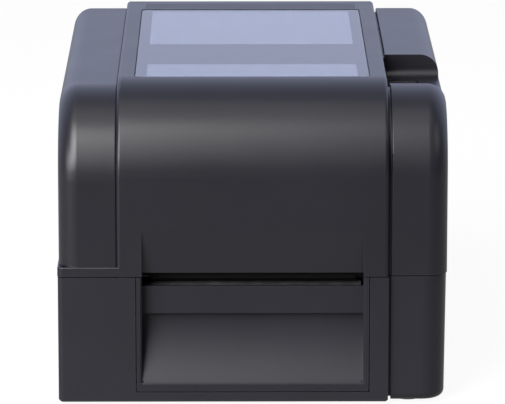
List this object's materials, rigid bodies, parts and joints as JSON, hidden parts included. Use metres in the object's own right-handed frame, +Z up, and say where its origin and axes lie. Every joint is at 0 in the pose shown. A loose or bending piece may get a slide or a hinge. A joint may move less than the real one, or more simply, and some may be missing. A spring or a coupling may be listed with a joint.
{
  "type": "label printer",
  "caption": "Desktop label printer with a hinged clamshell lid, clear window, exit slot, adjustable roll holders, platen drive and ribbon carriage.",
  "frame": {"origin": "middle of the footprint, on the plane the feet stand on", "axes": "+Y from the label exit to the rear, +Z up, +X to the right seen from the front"},
  "size_m": [0.204, 0.28, 0.168],
  "materials": {
    "lid_plastic": "fine matte",
    "case_plastic": "fine matte",
    "bezel_plastic": "fine matte",
    "key_plastic": "satin",
    "window_clear": "gloss",
    "mask_black": "gloss",
    "foot_rubber": "matte",
    "platen_rubber": "satin",
    "steel": "satin",
    "tear_steel": "satin",
    "gear_plastic": "satin",
    "bush_plastic": "satin",
    "motor_metal": "satin",
    "chassis_plastic": "matte",
    "holder_plastic": "satin",
    "hub_plastic": "satin",
    "head_ceramic": "gloss",
    "spring_steel": "satin",
    "screw_steel": "satin",
    "board_green": "satin",
    "chip_black": "matte",
    "port_plastic": "matte",
    "port_metal": "satin",
    "switch_black": "satin",
    "lens_clear": "gloss"
  },
  "bodies": {
    "case": {"base_case": "case_plastic", "right_side_cover": "case_plastic", "rubber_feet": "foot_rubber", "front_bezel": "bezel_plastic", "tear_bar": "tear_steel", "platen_bushes": "bush_plastic", "idler_pin": "steel", "stepper_motor": "motor_metal", "media_chassis": "chassis_plastic", "holder_pinion_pin": "steel", "main_board": "board_green", "board_parts": "chip_black", "power_inlet": "port_plastic", "usb_port": "port_metal", "network_port": "port_plastic", "serial_port": "port_metal", "switch_housing": "switch_black", "hinge_pins": "steel", "case_screws": "screw_steel", "side_screws": "screw_steel", "board_screws": "screw_steel", "motor_screws": "screw_steel"},
    "lid": {"cover_frame": "lid_plastic", "left_cheek": "lid_plastic", "right_cheek": "lid_plastic", "window_panel": "window_clear", "window_mask": "mask_black", "ribbon_carriage": "chassis_plastic", "ribbon_motor": "motor_metal", "head_rod": "steel", "head_springs": "spring_steel", "tab_spring_left": "spring_steel", "tab_spring_right": "spring_steel", "key_board": "board_green", "status_lens": "lens_clear", "lid_screws": "screw_steel"},
    "platen": {"platen_shaft": "steel", "platen_sleeve": "platen_rubber", "platen_gear": "gear_plastic"},
    "idler": {"idler_gear": "gear_plastic"},
    "motor_rotor": {"motor_pinion": "gear_plastic"},
    "right_holder": {"right_holder": "holder_plastic"},
    "left_holder": {"left_holder": "holder_plastic"},
    "holder_pinion": {"holder_pinion": "gear_plastic"},
    "gap_sensor": {"gap_sensor": "holder_plastic"},
    "supply_hubs": {"supply_hub_left": "hub_plastic", "supply_hub_right": "hub_plastic"},
    "rewind_hubs": {"rewind_hub_left": "hub_plastic", "rewind_hub_right": "hub_plastic", "rewind_gear": "gear_plastic"},
    "ribbon_pinion": {"ribbon_pinion": "gear_plastic"},
    "print_head": {"thermal_head": "head_ceramic", "head_bracket": "steel"},
    "feed_key": {"feed_key": "key_plastic"},
    "power_rocker": {"power_rocker": "switch_black"},
    "release_tab_left": {"release_tab_left": "key_plastic"},
    "release_tab_right": {"release_tab_right": "key_plastic"}
  },
  "joints": [
    {"name": "lid_hinge", "type": "hinge", "parent": "case", "child": "lid", "pos_m": [0, 0.134, 0.07], "axis": [-1, 0, 0], "range_deg": [0, 85]},
    {"name": "platen_spin", "type": "hinge", "parent": "case", "child": "platen", "pos_m": [0, -0.116, 0.056], "axis": [1, 0, 0], "continuous": true},
    {"name": "idler_spin", "type": "hinge", "parent": "case", "child": "idler", "pos_m": [0.0765, -0.098, 0.03455], "axis": [1, 0, 0], "continuous": true},
    {"name": "motor_spin", "type": "hinge", "parent": "case", "child": "motor_rotor", "pos_m": [0.0765, -0.073, 0.03455], "axis": [1, 0, 0], "continuous": true},
    {"name": "right_holder_slide", "type": "slide", "parent": "case", "child": "right_holder", "axis": [1, 0, 0], "range_m": [-0.04, 0.004]},
    {"name": "left_holder_slide", "type": "slide", "parent": "case", "child": "left_holder", "axis": [1, 0, 0], "range_m": [-0.004, 0.04]},
    {"name": "holder_pinion_turn", "type": "hinge", "parent": "case", "child": "holder_pinion", "pos_m": [0, 0.025, 0.0245], "axis": [0, 0, 1], "range_deg": [-383, 39]},
    {"name": "gap_sensor_slide", "type": "slide", "parent": "case", "child": "gap_sensor", "axis": [1, 0, 0], "range_m": [-0.039, 0.039]},
    {"name": "supply_spin", "type": "hinge", "parent": "lid", "child": "supply_hubs", "pos_m": [0, -0.066, 0.092], "axis": [1, 0, 0], "continuous": true},
    {"name": "rewind_spin", "type": "hinge", "parent": "lid", "child": "rewind_hubs", "pos_m": [0, -0.1, 0.125], "axis": [1, 0, 0], "continuous": true},
    {"name": "ribbon_pinion_spin", "type": "hinge", "parent": "lid", "child": "ribbon_pinion", "pos_m": [-0.0652, -0.07987, 0.13482], "axis": [1, 0, 0], "continuous": true},
    {"name": "head_lift", "type": "hinge", "parent": "lid", "child": "print_head", "pos_m": [0, -0.092, 0.08], "axis": [-1, 0, 0], "range_deg": [0, 3], "stiffness_Nm_per_rad": 5, "springref_deg": -3.44, "deforming": ["head_springs"]},
    {"name": "feed_key_press", "type": "slide", "parent": "lid", "child": "feed_key", "axis": [0, 0, -1], "range_m": [0, 0.0012], "stiffness_N_per_m": 900, "springref_m": -0.0008},
    {"name": "power_rocker_tilt", "type": "hinge", "parent": "case", "child": "power_rocker", "pos_m": [-0.08, 0.1337, 0.04], "axis": [-1, 0, 0], "range_deg": [0, 14]},
    {"name": "release_left_press", "type": "slide", "parent": "lid", "child": "release_tab_left", "axis": [1, 0, 0], "range_m": [0, 0.003], "stiffness_N_per_m": 500, "springref_m": -0.002, "deforming": ["tab_spring_left"]},
    {"name": "release_right_press", "type": "slide", "parent": "lid", "child": "release_tab_right", "axis": [-1, 0, 0], "range_m": [0, 0.003], "stiffness_N_per_m": 500, "springref_m": -0.002, "deforming": ["tab_spring_right"]}
  ],
  "couplings": [
    {"joint": "idler_spin", "follows": "platen_spin", "ratio": -0.75},
    {"joint": "motor_spin", "follows": "platen_spin", "ratio": 1.3333},
    {"joint": "left_holder_slide", "follows": "right_holder_slide", "ratio": -1},
    {"joint": "holder_pinion_turn", "follows": "right_holder_slide", "rad_per_m": 166.67},
    {"joint": "ribbon_pinion_spin", "follows": "rewind_spin", "ratio": -2.5}
  ]
}
